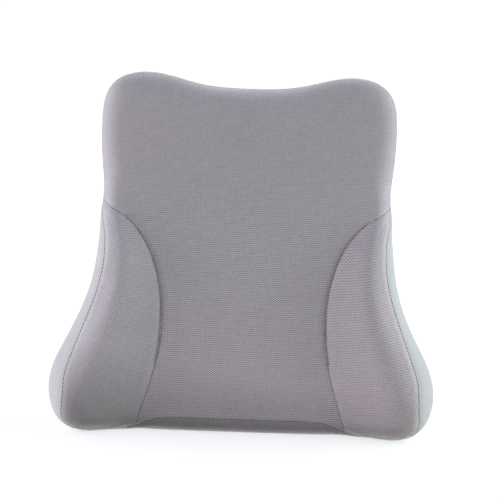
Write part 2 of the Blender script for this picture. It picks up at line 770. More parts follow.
def unevenness(points):
    """Slow unevenness of hand-filled covers."""
    x, y, z = points.T
    return (0.55 * np.sin(x / 27.0 + 1.1 * np.sin(z / 41.0))
            * np.sin(z / 33.0 + 0.8 * np.sin(x / 52.0) + y / 40.0)
            + 0.16 * np.sin((x + 0.7 * z) / 15.0 + 2.0 * np.sin(z / 60.0))
            + 0.1 * np.sin((x - 0.5 * z) / 11.0 + 1.5))


def sewn_in(distance, place, crown, pucker):
    """Outward offset beside the seams: groove, crown and puckers."""
    near = np.clip(1 - distance / GROOVE_REACH, 0, 1)
    off = -GROOVE * (1 - np.sqrt(np.clip(1 - near * near, 0, 1)))
    off += crown * np.exp(-((distance - CROWN_AT) / CROWN_SPREAD) ** 2)
    return off + pucker * wobble(place) * (np.exp(-distance / 8.0) - np.exp(-distance / 1.2))


def upper_fullness(points, distance):
    """Added to the front's upper half: fuller in the middle, falling away to the sides."""
    up = np.clip((points[:, 2] - 215) / 80, 0, 1)
    up = up * up * (3 - 2 * up) * np.clip((points[:, 2] - 392) / -45, 0, 1)
    fall = np.minimum(np.abs(points[:, 0]) / 135.0, 1.0) ** 1.9
    return up * (3.2 - 5.4 * fall) * np.clip(distance / 26.0, 0, 1)


def panel(name, key, crown=0.5, pucker=0.22, uneven=1.0):
    """One panel of the cover, its edges turned in."""
    grid, uv = PANELS[key]
    points, normals = grid.reshape(-1, 3), grid_normals(grid).reshape(-1, 3)
    distance, place = seam_near(points)
    shaped = points + SWELL[key].reshape(-1, 3)
    if key == "front":
        shaped[:, 1] -= upper_fullness(points, distance)
    # less uneven by the seams, towards the back and at the floor
    calm = np.clip((distance - 1.0) / 14.0, 0, 1)
    calm = calm * (1 - np.clip((points[:, 1] - 50.0) / 9.0, 0, 1) * 0.85)
    calm = calm * np.clip(points[:, 2] / 6.0, 0, 1)
    off = uneven * unevenness(points) * calm + sewn_in(distance, place, crown, pucker)
    shaped = shaped + normals * off[:, None]
    shaped[:, 2] = np.maximum(shaped[:, 2], 0.0)
    # the edges turn in and run down beside each other
    margin = ((3, 3), (3, 3), (0, 0))
    verts = np.pad(shaped.reshape(grid.shape), margin, mode="edge")
    turned = np.zeros(verts.shape[:2])
    for k, turn in ((2, LIP * 0.33), (1, LIP * 0.66), (0, LIP)):
        for edge in (turned[k], turned[-1 - k], turned[:, k], turned[:, -1 - k]):
            edge[:] = np.maximum(edge, turn)
    verts = verts - np.pad(normals.reshape(grid.shape), margin, mode="edge") * turned[..., None]
    faces = quads(*verts.shape[:2])
    verts = verts.reshape(-1, 3)
    verts[:, 2] = np.maximum(verts[:, 2], 0.0)
    # drop the collapsed corners of the lip
    corner = verts[faces]
    diagonals = np.cross(corner[:, 2] - corner[:, 0], corner[:, 3] - corner[:, 1])
    faces = faces[np.linalg.norm(diagonals, axis=1) > 1e-7]
    obj = mesh_from(name, verts, faces, np.pad(uv, margin, mode="edge").reshape(-1, 2),
                    {"seam": np.pad(distance.reshape(grid.shape[:2]), 3, mode="edge").ravel()})
    bm = bmesh.new()
    bm.from_mesh(obj.data)
    bmesh.ops.remove_doubles(bm, verts=bm.verts, dist=2e-6)
    bmesh.ops.delete(bm, geom=[v for v in bm.verts if not v.link_faces], context="VERTS")
    bm.to_mesh(obj.data)
    bm.free()
    mod = obj.modifiers.new("thickness", "SOLIDIFY")
    mod.thickness = COVER_THICK * MM
    mod.offset = -1
    mod.use_even_offset = False
    return obj


# ---------------------------------------------------------------- closed skins inside the cover
FACE_CENTRE_Z = 112.0


def hull(inset, ring_steps=150, roll_steps=8, face_steps=14):
    """The cushion's whole outside, inset mm in: vertices and faces."""
    def front(t, out):
        x, z = face_edge(t, front_width)
        x, z = x * out, FACE_CENTRE_Z + (z - FACE_CENTRE_Z) * out
        return x, BACK_Y - thickness(x, z, inset), z

    def back(t, out):
        x, z = face_edge(t, back_width)
        return x * out, BACK_Y - inset, FACE_CENTRE_Z + (z - FACE_CENTRE_Z) * out

    ts = np.linspace(0, 1, ring_steps + 1)
    loop = [(t, 1) for t in ts] + [(t, -1) for t in ts[-2:0:-1]]

    def loops(place, values):
        return [[np.array(place(t, v)) * (side, 1, 1) for t, side in loop] for v in values]

    out = np.linspace(0, 1, face_steps + 1)
    rows = (loops(front, out[1:])
            + loops(lambda t, w: ring(t, w, inset), np.linspace(0, 3, 3 * roll_steps + 1)[1:])
            + loops(back, np.linspace(1, 0, face_steps + 1)[1:-1]))
    n = len(loop)
    verts = [point for row in rows for point in row]
    faces = []
    for j in range(len(rows) - 1):
        for i in range(n):
            k = (i + 1) % n
            faces.append((j * n + i, (j + 1) * n + i, (j + 1) * n + k, j * n + k))
    front_centre, back_centre = len(verts), len(verts) + 1
    verts += [np.array(front(0.5, 0)), np.array(back(0.5, 0))]
    last = (len(rows) - 1) * n
    for i in range(n):
        k = (i + 1) % n
        faces.append((front_centre, i, k))
        faces.append((back_centre, last + k, last + i))
    return np.array(verts), faces


# ---------------------------------------------------------------- node trees
class Value:
    """An output in a node tree; arithmetic on it adds Math nodes."""

    def __init__(self, nodes, socket):
        self.nodes, self.socket = nodes, socket

    def math(self, operation, *others):
        return self.nodes.math(operation, self, *others)

    def __add__(self, other):
        return self.math("ADD", other)

    def __radd__(self, number):
        return self.nodes.math("ADD", number, self)

    def __sub__(self, number):
        return self + -number

    def __mul__(self, other):
        return self.math("MULTIPLY", other)

    def __abs__(self):
        return self.math("ABSOLUTE")

    def pingpong(self, reach):
        return self.math("PINGPONG", reach)

    def wave(self, period):
        """Cosine over a period, -1 to 1."""
        return self.math("MULTIPLY_ADD", 2 * pi / period, 0.0).math("COSINE")

    def step(self, size):
        """Number of whole sizes."""
        return self.math("DIVIDE", size).math("FLOOR")

    def span(self, low, high, to=(0.0, 1.0)):
        """low..high mapped to the range to, and held beyond it."""
        return self.nodes.node("ShaderNodeMapRange",
                               {0: self, 1: low, 2: high, 3: to[0], 4: to[1]})


class Nodes:
    """Builder for a node tree."""

    def __init__(self, tree):
        self.tree = tree
        tree.nodes.clear()

    def put(self, socket, value):
        if isinstance(value, Value):
            self.tree.links.new(value.socket, socket)
        elif socket.type == "RGBA":
            socket.default_value = (*value, 1.0)
        else:
            socket.default_value = value

    def node(self, kind, inputs=None, output=0, **settings):
        node = self.tree.nodes.new(kind)
        for key, value in settings.items():
            setattr(node, key, value)
        for key, value in (inputs or {}).items():
            self.put(node.inputs[key], value)
        return Value(self, node.outputs[output])

    def end(self, kind, value):
        self.put(self.tree.nodes.new(kind).inputs[0], value)

    def math(self, operation, *values):
        return self.node("ShaderNodeMath", dict(enumerate(values)), operation=operation)

    def vector(self, operation, inputs, output=0):
        return self.node("ShaderNodeVectorMath", inputs, output, operation=operation)

    def split(self, vector):
        separate = self.node("ShaderNodeSeparateXYZ", {0: vector}).socket.node
        return [Value(self, socket) for socket in separate.outputs]

    def tint(self, colour, value):
        return self.vector("SCALE", {0: colour, "Scale": value})

    def mix(self, share, a, b):
        return self.node("ShaderNodeMix", {0: share, 6: a, 7: b}, 2, data_type="RGBA")

    def camera_ray(self):
        return self.node("ShaderNodeLightPath", output="Is Camera Ray")


class Mat(Nodes):
    """A principled material. UVs are in mm along the cloth."""

    def __init__(self, name):
        self.material = bpy.data.materials.new(name)
        self.material.use_nodes = True
        super().__init__(self.material.node_tree)
        shader = self.node("ShaderNodeBsdfPrincipled")
        self.shader = shader.socket.node
        self.end("ShaderNodeOutputMaterial", shader)

    def set(self, **inputs):
        for key, value in inputs.items():
            self.put(self.shader.inputs[key.replace("_", " ")], value)
        return self.material

    def uv(self):
        vector = self.node("ShaderNodeUVMap")
        u, v, _ = self.split(vector)
        return vector, u, v

    def place(self):
        """Object coordinates in mm."""
        metres = self.node("ShaderNodeTexCoord", output="Object")
        return self.tint(metres, 1000.0)

    def noise(self, vector, period, detail=3.0, rough=0.55):
        return self.node("ShaderNodeTexNoise", {"Vector": vector, "Scale": 1.0 / period,
                                                "Detail": detail, "Roughness": rough})

    def vary(self, vector, period, by, detail=1.0):
        """Noise about 0, its whole range as wide as by."""
        return (self.noise(vector, period, detail) - 0.5) * by

    def cell(self, u, u_size, v, v_size):
        """A random value, 0 to 1, for each cell."""
        corner = self.node("ShaderNodeCombineXYZ", {0: u.step(u_size), 1: v.step(v_size)})
        return self.node("ShaderNodeTexWhiteNoise", {"Vector": corner}, "Value",
                         noise_dimensions="2D")

    def attr(self, name):
        return self.node("ShaderNodeAttribute", output="Fac", attribute_name=name)

    def seam_shade(self, reach, dark):
        """Darkening by dark within reach of the seams."""
        return self.attr("seam").span(0.2, reach, to=(dark, 1.0))

    def pointiness(self):
        return self.node("ShaderNodeNewGeometry", output="Pointiness")

    def grazing(self):
        """0 where the cloth faces the eye, 1 where it turns away sideways.

        Only on faces that turn outward, and less where they turn up or down.
        """
        facing = self.node("ShaderNodeLayerWeight", {"Blend": 0.5}, "Facing")
        geometry = self.node("ShaderNodeNewGeometry", output="Normal")
        normal_x, _, normal_z = self.split(geometry)
        x, _, _ = self.split(self.place())
        outward = (normal_x * x.math("SIGN")).span(0.0, 0.25)
        level = abs(normal_z).span(0.3, 0.85, to=(1.0, 0.0))
        return facing.span(0.04, 0.55) * outward * level

    def bump(self, height, mm, strength):
        return self.node("ShaderNodeBump", {"Strength": strength, "Distance": mm * 0.001,
                                            "Height": height})


# ---------------------------------------------------------------- materials
# relief is a pattern's height, tone what its base colour is multiplied by
def knit(name, base, pitch, contrast, depth, turn=0.0, fleck=0.045):
    """Diamond spacer knit: crossed diagonal ribs over rows of small loops, slightly uneven."""
    m = Mat(name)
    vec, u, v = m.uv()
    # the cloth is never quite straight
    sway_u = m.vary(vec, period=46.0, by=5.0)
    sway_v = m.vary(u + 300.0, period=38.0, by=2.0)
    across = u * cos(turn) + v * -sin(turn) + sway_u
    up = u * sin(turn) + v * cos(turn) + sway_v
    # the diamonds are wider than they are high
    across, up = across * 0.75, up * 1.09
    a, b = across + up, across + up * -1.0
    p = pitch * 1.4142
    ribs, rows = a.wave(p).math("MAXIMUM", b.wave(p)), up.wave(p)
    lattice = ribs * 0.8 + rows * 0.3
    strand = (a * 1.0 + b.wave(p) * 0.18).wave(p / 4.0) * b.wave(p / 3.0)
    relief = lattice * 0.5 + strand * 0.14
    x, _, height = m.split(m.place())
    # darker at the foot, three overlapping fades
    low = (height.span(0.0, 21.0, to=(0.42, 1.0))
           * (height + x * 0.22).span(-20.0, 70.0, to=(0.64, 1.0))
           * height.span(8.0, 62.0, to=(0.83, 1.0)))
    # stretched smoother over the top
    pattern = (relief - 0.1) * height.span(205.0, 295.0, to=(1.0, 0.55)) + 0.1
    tone = pattern.span(-0.55, 0.75, to=(1.0 - contrast, 1.0 + contrast * 0.62))
    tone = tone + (m.cell(a, p, b, p) - 0.5) * (fleck * 2)
    tone = tone + (m.cell(a, p * 2.0, b, p * 3.0) - 0.5) * (fleck * 0.5)
    tone = tone + m.vary(vec, period=60.0, by=0.07, detail=2.0)
    rub = m.attr("seam").span(4.0, 14.0, to=(1.05, 1.0))
    tone = tone * m.seam_shade(reach=1.0, dark=0.74) * rub * low
    # the loops' fuzz shows paler across the wales
    tone = tone * (m.grazing() * 0.30 + 1.0)
    fibre = m.noise(vec, period=0.5, detail=2.0)
    return m.set(Base_Color=m.tint(base, tone),
                 Roughness=fibre.span(0.2, 0.8, to=(0.78, 0.98)),
                 Normal=m.bump(relief + fibre * 0.25, mm=depth, strength=0.9),
                 Sheen_Weight=0.9, Sheen_Roughness=0.36, Sheen_Tint=(0.95, 0.98, 1.0),
                 Specular_IOR_Level=0.18)


def jersey(name, base, wale=1.15, course=0.95, contrast=0.10):
    """Smooth fine jersey: rows of small V loops, wale wide and course high."""
    m = Mat(name)
    vec, u, v = m.uv()
    across = u + m.vary(vec, period=52.0, by=3.0)
    loops = (v + across.pingpong(wale / 2) * 1.1).wave(course)
    relief = loops * 0.4 + abs(across.wave(wale * 2)) * 0.6
    tone = relief.span(-0.4, 1.0, to=(1 - contrast, 1 + contrast * 0.5))
    tone = tone + (m.cell(across, wale, v, course) - 0.5) * 0.07
    tone = tone + m.vary(vec, period=45.0, by=0.06, detail=2.0)
    tone = tone * m.seam_shade(reach=1.0, dark=0.75)
    return m.set(Base_Color=m.tint(base, tone), Roughness=0.85,
                 Normal=m.bump(relief, mm=0.12, strength=0.8), Sheen_Weight=0.3,
                 Sheen_Roughness=0.4, Specular_IOR_Level=0.2)


def mesh_cloth(name, base, pitch=3.2):
    """Open spacer mesh: staggered round holes between bundled yarns."""
    m = Mat(name)
    vec, u, v = m.uv()
    across = u + m.vary(vec, period=50.0, by=3.0)
    up = v + m.vary(u + 120.0, period=41.0, by=2.0)
    row = pitch * 1.732

    def from_hole(shift):
        """Distance from the nearest hole of a grid shifted by a share of its pitch."""
        x = (across + shift * pitch).pingpong(pitch / 2) - 0.0
        y = (up + shift * row).pingpong(row / 2)
        return (x * x + y * y).math("SQRT")

    distance = from_hole(0.0).math("MINIMUM", from_hole(0.5))
    hole = distance.span(pitch * 0.20, pitch * 0.34, to=(1.0, 0.0))
    # two sets of yarns crossing at the slant of the holes
    slant, yarn_width = 0.577, 0.46
    yarn = ((across + up * slant).wave(yarn_width) * 0.5
            + (across + up * -slant).wave(yarn_width) * 0.5)
    relief = hole * -1.0 + yarn * 0.16
    tone = yarn.span(-1.0, 1.0, to=(0.75, 1.2))
    tone = tone + (m.cell(across, pitch, up, pitch) - 0.5) * 0.28
    tone = tone + m.vary(vec, period=55.0, by=0.3, detail=2.0)
    tone = tone * hole.span(0.0, 1.0, to=(1.0, 0.16)) * m.seam_shade(reach=1.5, dark=0.7)
    return m.set(Base_Color=m.tint(base, tone), Roughness=0.86,
                 Normal=m.bump(relief, mm=0.45, strength=0.9), Sheen_Weight=0.25,
                 Sheen_Roughness=0.5, Specular_IOR_Level=0.25)


def thread_mat(name, base):
    """Twisted thread, each stitch in its own tone."""
    m = Mat(name)
    x, y, z = m.split(m.place())
    twist = (x + y + z).wave(0.42)
    tone = twist.span(-1, 1, to=(0.7, 1.25)) * m.attr("tone")
    return m.set(Base_Color=m.tint(base, tone), Roughness=0.55,
                 Normal=m.bump(twist, mm=0.08, strength=0.8), Sheen_Weight=0.2,
                 Specular_IOR_Level=0.4)


def webbing_mat(name, base):
    """Flat nylon web: plain weave of broad warps, paler at the selvedges. UV: along, across."""
    m = Mat(name)
    vec, u, v = m.uv()
    warp, weft = 1.25, 1.5          # widths of the yarns
    ribs = v.wave(warp)
    picks = (u + v.step(warp) * (weft / 2)).wave(weft)
    relief = picks * 0.55 + abs(ribs) * -0.5
    fray = m.noise(vec, period=0.7, detail=3.0)
    tone = relief.span(-0.9, 0.55, to=(0.6, 1.3)) + (m.cell(v, warp, u, weft) - 0.5) * 0.25
    tone = tone + m.vary(vec, period=24.0, by=0.5, detail=2.0)
    selvedge = abs(v).span(11.2, 12.5, to=(1.0, 1.7))
    return m.set(Base_Color=m.tint(base, tone * selvedge),
                 Roughness=fray.span(0.3, 0.7, to=(0.45, 0.7)),
                 Normal=m.bump(relief + fray * 0.2, mm=0.28, strength=0.9),
                 Sheen_Weight=0.25, Sheen_Roughness=0.35, Specular_IOR_Level=0.4)


def elastic_mat(name, base):
    """Ribbed elastic: cords along the band with fine picks across. UV: along, across."""
    m = Mat(name)
    vec, u, v = m.uv()
    cord, pick = 3.4, 0.95          # periods of the weave
    cords = abs(v.wave(cord))
    picks = (u + v.wave(cord) * 0.12).wave(pick)
    relief = cords * 0.7 + picks * 0.3
    tone = relief.span(-0.3, 1.0, to=(0.65, 1.3)) + (m.cell(v, cord / 2, u, pick) - 0.5) * 0.22
    tone = tone + m.vary(vec, period=18.0, by=0.4, detail=2.0)
    return m.set(Base_Color=m.tint(base, tone), Roughness=0.72,
                 Normal=m.bump(relief, mm=0.3, strength=0.9), Sheen_Weight=0.35,
                 Sheen_Roughness=0.4, Specular_IOR_Level=0.3)


def tape_mat(name, base):
    """Herringbone tape. UV: along, across."""
    m = Mat(name)
    vec, u, v = m.uv()
    relief = (u + v.pingpong(2.2)).wave(0.8)
    tone = relief.span(-1, 1, to=(0.7, 1.3)) + m.vary(vec, period=9.0, by=0.5, detail=2.0)
    return m.set(Base_Color=m.tint(base, tone), Roughness=0.8,
                 Normal=m.bump(relief, mm=0.15, strength=0.9), Sheen_Weight=0.2,
                 Specular_IOR_Level=0.25)


def moulded(name, base, rough, grain):
    """Satin plastic: fine spark texture, faint flow marks, edges rubbed shinier and lighter."""
    m = Mat(name)
    vec = m.place()
    spark = m.noise(vec, period=grain, detail=2.0, rough=0.6)
    flow = m.noise(vec, period=11.0, detail=3.0)
    scuff = m.noise(vec, period=2.6, detail=5.0, rough=0.7).span(0.60, 0.70)
    edge = m.pointiness().span(0.51, 0.60)
    tone = (0.85 + flow * 0.3) + (edge * 0.8 + scuff * 0.25)
    roughness = rough + (spark - 0.5) * 0.25 + edge * -0.1 + scuff * 0.12
    return m.set(Base_Color=m.tint(base, tone), Roughness=roughness,
                 Normal=m.bump(spark, mm=0.05, strength=0.6), Specular_IOR_Level=0.5)


def painted_metal(name, base):
    """Orange-peel paint worn to bare metal along the edges."""
    m = Mat(name)
    vec = m.place()
    peel = m.noise(vec, period=1.4, detail=2.0)
    worn = m.pointiness() + m.vary(vec, period=0.8, by=0.06, detail=3.0)
    edge = worn.span(0.54, 0.60)
    return m.set(Base_Color=m.mix(edge, base, (0.42, 0.41, 0.40)),
                 Metallic=edge.span(0, 1, to=(0.35, 1.0)), Roughness=peel * 0.2 + 0.22,
                 Normal=m.bump(peel, mm=0.04, strength=0.5), Specular_IOR_Level=0.5)


def foam_mat(name, base):
    """Open-celled foam."""
    m = Mat(name)
    vec = m.place()
    cells = m.node("ShaderNodeTexVoronoi", {"Vector": vec, "Scale": 1.4}, "Distance")
    tone = cells.span(0.0, 0.7, to=(0.72, 1.05)) + m.vary(vec, period=60.0, by=0.1, detail=2.0)
    return m.set(Base_Color=m.tint(base, tone), Roughness=0.95,
                 Normal=m.bump(cells, mm=0.3, strength=0.8), Subsurface_Weight=0.1,
                 Specular_IOR_Level=0.2)


def satin(name, base):
    """Blank satin label: fine lines across the width, a little creased."""
    m = Mat(name)
    vec, u, _ = m.uv()
    fine = u.wave(0.22)
    tone = fine.span(-1, 1, to=(0.95, 1.03)) + m.vary(vec, period=12.0, by=0.12, detail=3.0)
    creases = m.noise(vec, period=9.0, detail=2.0)
    return m.set(Base_Color=m.tint(base, tone), Roughness=0.42,
                 Normal=m.bump(fine * 0.15 + creases, mm=0.12, strength=0.7),
                 Anisotropic=0.5, Sheen_Weight=0.1, Specular_IOR_Level=0.45)


GREY = (0.334, 0.321, 0.344)
MATS = {
    "front": knit("front_knit_cloth", GREY, pitch=1.75, contrast=0.92, depth=0.34),
    "wing_left": knit("wing_knit_cloth_left", GREY, pitch=1.75, contrast=0.80, depth=0.34,
                      turn=radians(11)),
    "wing_right": knit("wing_knit_cloth_right", (0.325, 0.306, 0.326), pitch=2.1,
                       contrast=0.75, depth=0.36, turn=radians(-11), fleck=0.04),
    "base": knit("base_knit_cloth", (0.262, 0.251, 0.271), pitch=1.75, contrast=0.80,
                 depth=0.34),
    "side": jersey("side_knit_cloth", (0.385, 0.392, 0.405)),
    "back": mesh_cloth("back_mesh_cloth", (0.105, 0.104, 0.112)),
    "thread": thread_mat("seam_thread", (0.030, 0.029, 0.034)),
    "web": webbing_mat("nylon_web", (0.040, 0.040, 0.045)),
    "elastic": elastic_mat("ribbed_elastic", (0.046, 0.046, 0.051)),
    "tape": tape_mat("zip_tape_cloth", (0.060, 0.060, 0.066)),
    "teeth": moulded("zip_tooth_nylon", (0.050, 0.050, 0.056), rough=0.35, grain=0.3),
    "buckle": moulded("buckle_acetal", (0.030, 0.030, 0.033), rough=0.40, grain=0.45),
    "metal": painted_metal("zip_painted_metal", (0.075, 0.075, 0.083)),
    "foam": foam_mat("core_foam", (0.80, 0.78, 0.70)),
    "liner": jersey("liner_jersey", (0.84, 0.84, 0.83), wale=0.9, course=0.8, contrast=0.06),
    "label": satin("label_satin", (0.82, 0.82, 0.80)),
}


def dress(obj, material, slot, node=None, body="cushion"):
    """Give a piece its material, the body it rides on and the CAD node it replaces."""
    obj.data.materials.append(MATS[material])
    if body:
        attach(obj, body)
    if node:
        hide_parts(node)
    return obj


# ---------------------------------------------------------------- cover
BACK_SEWING = dict(crown=0.15, pucker=0.12, uneven=0.3)
# object name, panel, material, slot, CAD node, sewing
COVER = [
    ("cover_front", "front", "front", "front_knit", "front_panel", {}),
    ("cover_wing_right", "wing_right", "wing_right", "front_knit", "wing_panel_right", {}),
    ("cover_wing_left", "wing_left", "wing_left", "front_knit", "wing_panel_left", {}),
    ("cover_side_strip", "side", "side", "side_knit", "side_strip", dict(pucker=0.28)),
    ("cover_base", "base", "base", "front_knit", "base_panel", dict(pucker=0.2, uneven=0.3)),
    ("cover_back", "back_upper", "back", "back_mesh", "back_panel", BACK_SEWING),
    ("cover_back_lower", "back_lower", "back", "back_mesh", "back_lower_panel", BACK_SEWING),
]
for name, key, material, slot, node, sewing in COVER:
    dress(panel(name, key, **sewing), material, slot, node)


def skin_piece(name, inset, material, node, rough):
    """A closed skin inset from the cover, pressed in unevenly by up to rough."""
    verts, faces = hull(inset)
    centre = np.array([0, 25, 170.0])
    out = (verts - centre) / np.linalg.norm(verts - centre, axis=1, keepdims=True)
    x, z = verts[:, 0], verts[:, 2]
    dents = 0.5 + 0.5 * np.sin(x / 9.0 + 2 * np.sin(z / 17.0)) * np.cos(z / 8.0)
    verts = verts - out * (rough * dents)[:, None]
    verts[:, 2] = np.maximum(verts[:, 2], inset * 0.9)
    uvs = np.stack([verts[:, 0] + verts[:, 1], verts[:, 2]], axis=1)
    # a seam distance of 20 keeps the seam shading off
    obj = mesh_from(name, verts, faces, uvs, {"seam": np.full(len(verts), 20.0)})
    dress(obj, material, material, node)


skin_piece("liner_skin", 4.2, "liner", "inner_liner", rough=0.25)
skin_piece("foam_block", 5.6, "foam", "foam_core", rough=0.35)

# ---------------------------------------------------------------- stitches
STITCH_TONES = np.random.default_rng(5).uniform(0.75, 1.25, 64)
STITCH_SIDES = 7
# along a stitch: place (ends at -1 and 1), share of its radius, height as a share of its sink
STITCH_PROFILE = np.array([
    (-1.0, 0.30, -1.0), (-0.86, 0.72, -0.45), (-0.5, 0.96, -0.06), (0.0, 1.0, 0.0),
    (0.5, 0.96, -0.06), (0.86, 0.72, -0.45), (1.0, 0.30, -1.0),
])


def stitches(name, line, normals, node=None, body="cushion", pitch=4.2, length=3.3, radius=0.42,
             inset=0.0, sink=0.55, seed=1):
    """A row of short raised stitches along a line; each dips into the cloth at both ends."""
    rng = np.random.default_rng(seed)
    run = arc_length(line)
    n = int(run[-1] / pitch)
    middles = (np.arange(n) + 0.5) * run[-1] / n
    middles = middles + rng.uniform(-0.12, 0.12, n)
    places, widths, heights = STITCH_PROFILE.T
    angles = np.arange(STITCH_SIDES) * 2 * pi / STITCH_SIDES
    stations = len(places)
    verts, faces, tones = [], [], []
    for number, middle in enumerate(middles):
        s = middle + places * length / 2
        normal = along(s, run, normals)
        normal /= np.linalg.norm(normal, axis=1, keepdims=True)
        ahead = (along(np.array([middle + 0.3]), run, line)[0]
                 - along(np.array([middle - 0.3]), run, line)[0])
        ahead /= np.linalg.norm(ahead)
        side = np.cross(ahead, normal[stations // 2])
        side /= np.linalg.norm(side)
        up = np.cross(side, ahead)
        spine = along(s, run, line) + normal * (heights * sink - inset)[:, None]
        first = len(verts)
        for k in range(stations):
            for angle in angles:
                around = side * cos(angle) + up * sin(angle)
                verts.append(spine[k] + around * widths[k] * radius)
                tones.append(STITCH_TONES[number % 64])
        rings = [range(first + k * STITCH_SIDES, first + (k + 1) * STITCH_SIDES)
                 for k in range(stations)]
        for low, high in zip(rings, rings[1:]):
            for i in range(STITCH_SIDES):
                j = (i + 1) % STITCH_SIDES
                faces.append((low[i], low[j], high[j], high[i]))
        faces.append(tuple(rings[0])[::-1])
        faces.append(tuple(rings[-1]))
    obj = mesh_from(name, verts, faces, None, {"tone": tones})
    dress(obj, "thread", "thread", node, body)


side_normals, base_normals = grid_normals(side_grid), grid_normals(base_grid)


def border_loop(k):
    """Line k of the side strip and the base as one loop, with outward normals."""
    return (np.concatenate([base_grid[:-1, k], side_grid[:, k]]),
            np.concatenate([base_normals[:-1, k], side_normals[:, k]]))


stitches("stitches_front_border", *border_loop(0), "thread_front_border", inset=0.16,
         radius=0.40, length=3.6, seed=2)
stitches("stitches_back_border", *border_loop(-1), "thread_back_border", inset=0.26,
         radius=0.29, length=3.1, seed=3)
wing_normals = (grid_normals(wing_grid)[:, 0]
                + grid_normals(half_front)[:WING_SEAM_STEPS + 1, -1])
wing_normals /= np.linalg.norm(wing_normals, axis=1, keepdims=True)
wing_normals, wing_line = wing_normals[2:-3], wing_grid[2:-3, 0]
WING_STITCH = dict(inset=0.20, radius=0.36, length=3.5)
stitches("stitches_wing_right", wing_line, wing_normals, "thread_wing_right", seed=4,
         **WING_STITCH)
stitches("stitches_wing_left", flip(wing_line), flip(wing_normals), "thread_wing_left", seed=6,
         **WING_STITCH)

BACKWARD = np.array([[0.0, 1.0, 0.0]])


def flat_stitches(name, start, stop, y, **options):
    """A straight row on the back, from one (x, z) to another."""
    start, stop = np.array([start[0], y, start[1]]), np.array([stop[0], y, stop[1]])
    line = start + np.linspace(0, 1, 40)[:, None] * (stop - start)
    stitches(name, line, np.repeat(BACKWARD, len(line), 0), **options)


for side, side_name in ((1, "upper"), (-1, "lower")):
    z = ZIP_Z + side * (ZIP_HALF_GAP + 3.4)
    flat_stitches("zip_topstitch_" + side_name, (-156, z), (156, z), BACK_Y + 0.12, pitch=3.4,
                  length=2.6, radius=0.33, sink=0.5, seed=8)
# three short upright rows at each end of the zip
for side, side_name in ((1, "right"), (-1, "left")):
    for k in range(3):
        x = side * (153.2 + 0.9 * k)
        flat_stitches("zip_bartack_%s_%d" % (side_name, k), (x, ZIP_Z - 4.4), (x, ZIP_Z + 4.4),
                      BACK_Y + 0.15, pitch=1.5, length=1.45, radius=0.34, sink=0.3, seed=9 + k)


# ---------------------------------------------------------------- sheets with thickness
def slab(name, grid, normals, thick, uvs):
    """Sheet of points [j][i] given a thickness both ways and a rounded edge."""
    nj, ni = grid.shape[:2]
    n = nj * ni
    points, normals = grid.reshape(-1, 3), normals.reshape(-1, 3)
    number = np.arange(n).reshape(nj, ni)
    edge = np.concatenate([number[0], number[1:, -1], number[-1, -2::-1], number[-2:0:-1, 0]])
    rim = points[edge]
    out = np.cross(np.roll(rim, -1, axis=0) - np.roll(rim, 1, axis=0), normals[edge])
    size = np.linalg.norm(out, axis=1, keepdims=True)
    out = out / np.where(size > 1e-9, size, 1)
    verts = np.concatenate([points + normals * thick / 2, points - normals * thick / 2,
                            rim + out * thick * 0.42])
    top = quads(nj, ni)
    faces = list(top) + list(top[:, ::-1] + n)
    for q in range(len(edge)):
        r = (q + 1) % len(edge)
        faces.append((edge[q], 2 * n + q, 2 * n + r, edge[r]))
        faces.append((2 * n + q, n + edge[q], n + edge[r], 2 * n + r))
    uvs = uvs.reshape(-1, 2)
    obj = mesh_from(name, verts, faces, np.concatenate([uvs, uvs, uvs[edge]]))
    bm = bmesh.new()
    bm.from_mesh(obj.data)
    bmesh.ops.recalc_face_normals(bm, faces=bm.faces)
    bm.to_mesh(obj.data)
    bm.free()
    return obj


def back_sheet(name, xs, zs, place, thick):
    """Slab facing backward over xs and zs; place(x, z) is its point, (x, z) its UV."""
    grid = np.array([[place(x, z) for x in xs] for z in zs])
    uvs = np.array([[(x, z) for x in xs] for z in zs])
    return slab(name, grid, np.broadcast_to(BACKWARD, grid.shape), thick, uvs)


for side, side_name in ((1, "upper"), (-1, "lower")):
    def tape_point(x, from_zip):
        ripple = 0.16 * sin(x / 6.3 + side) * min(from_zip / 8.0, 1.0)
        return x, 57.95 + ripple, ZIP_Z + side * from_zip

    tape = back_sheet("zip_tape_%s_cloth" % side_name, np.linspace(-160, 160, 161),
                      np.linspace(1.3, 12.0, 14), tape_point, thick=0.5)
    dress(tape, "tape", "zip_tape", "zip_tape_" + side_name)

# ---------------------------------------------------------------- strap: elastic bands
ELASTIC_HALF = 19       # half the band's height
ELASTIC_INSET = -1.05   # its middle sheet lies outside the cover
ELASTIC_END_X = 114.0


def elastic_sheet():
    """[up][along] middle sheet of the right band, from the side seam to its inner end."""
    rows, uvs = [], []
    for z in np.linspace(STRAP_Z - ELASTIC_HALF + 0.5, STRAP_Z + ELASTIC_HALF - 0.5, 27):
        row = []
        for w in np.linspace(BACK_SEAM + 0.07, 3.0, 26):
            t = last_t(lambda t: ring(t, w, ELASTIC_INSET)[2] < z, 0.3, 0.75)
            x, y, _ = ring(t, w, ELASTIC_INSET)
            row.append((x, y, z))
        for x in np.linspace(row[-1][0], ELASTIC_END_X, 44)[1:]:
            row.append((x, BACK_Y - ELASTIC_INSET, z))
        row = np.array(row)
        run = arc_length(row)
        # gathered a little where it's sewn in, faintly scalloped along its edges, and ribbed
        up = (z - STRAP_Z) / ELASTIC_HALF
        row[:, 2] += -up * 1.1 * np.exp(-run / 7.0) + 0.18 * up * np.sin(run / 2.1)
        row[:, 1] += 0.07 * np.sin(z / 1.75) * np.clip((run - 3) / 10, 0, 1)
        rows.append(row)
        uvs.append(np.stack([run, np.full(len(run), z - STRAP_Z)], axis=1))
    return np.array(rows), np.array(uvs)


